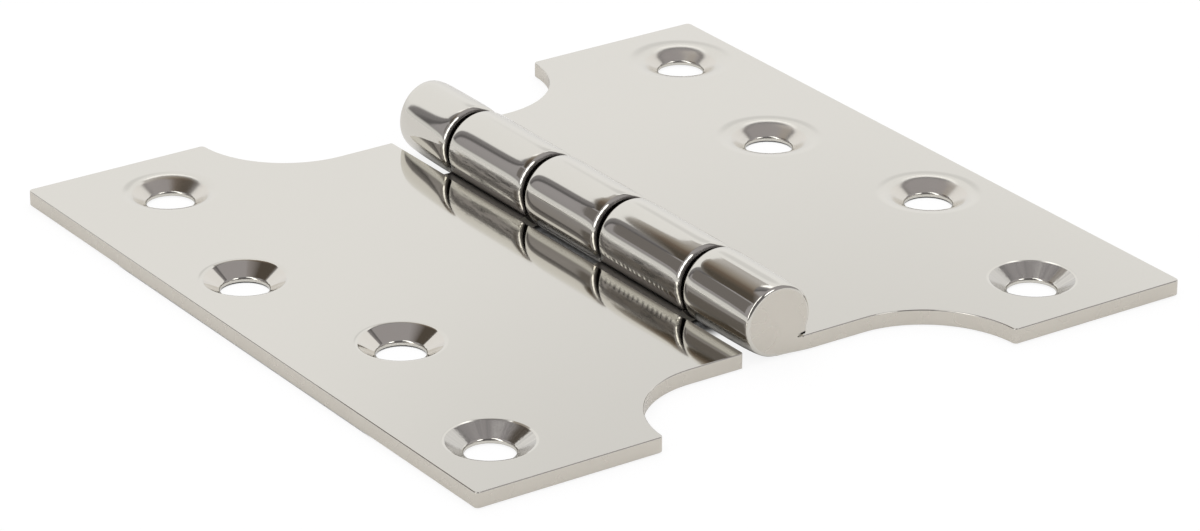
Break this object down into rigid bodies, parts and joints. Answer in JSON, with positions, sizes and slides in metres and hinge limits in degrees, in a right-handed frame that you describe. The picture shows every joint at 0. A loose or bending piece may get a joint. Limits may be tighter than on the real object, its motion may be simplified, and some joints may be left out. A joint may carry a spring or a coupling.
{
  "type": "parliament hinge",
  "caption": "Flat-open parliament hinge with countersunk leaves on projecting necks, quarter-round shoulders and a closed knuckle barrel on a hidden fixed pin.",
  "frame": {"origin": "under the pin's axis, midway along the barrel, on the plane of the leaves' backs", "axes": "+Z out of the countersunk faces, +Y along the barrel, +X from the pin towards the three-knuckle frame leaf"},
  "size_m": [0.1016, 0.1016, 0.0097],
  "materials": {
    "leaf_steel": "mirror polished",
    "pin_steel": "drawn"
  },
  "bodies": {
    "frame_side": {"frame_leaf": "leaf_steel", "hinge_pin": "pin_steel"},
    "door_side": {"door_leaf": "leaf_steel"}
  },
  "joints": [
    {"name": "leaf_fold", "type": "hinge", "parent": "frame_side", "child": "door_side", "pos_m": [0, 0, 0.00485], "axis": [0, 1, 0], "range_deg": [-90, 180]}
  ]
}
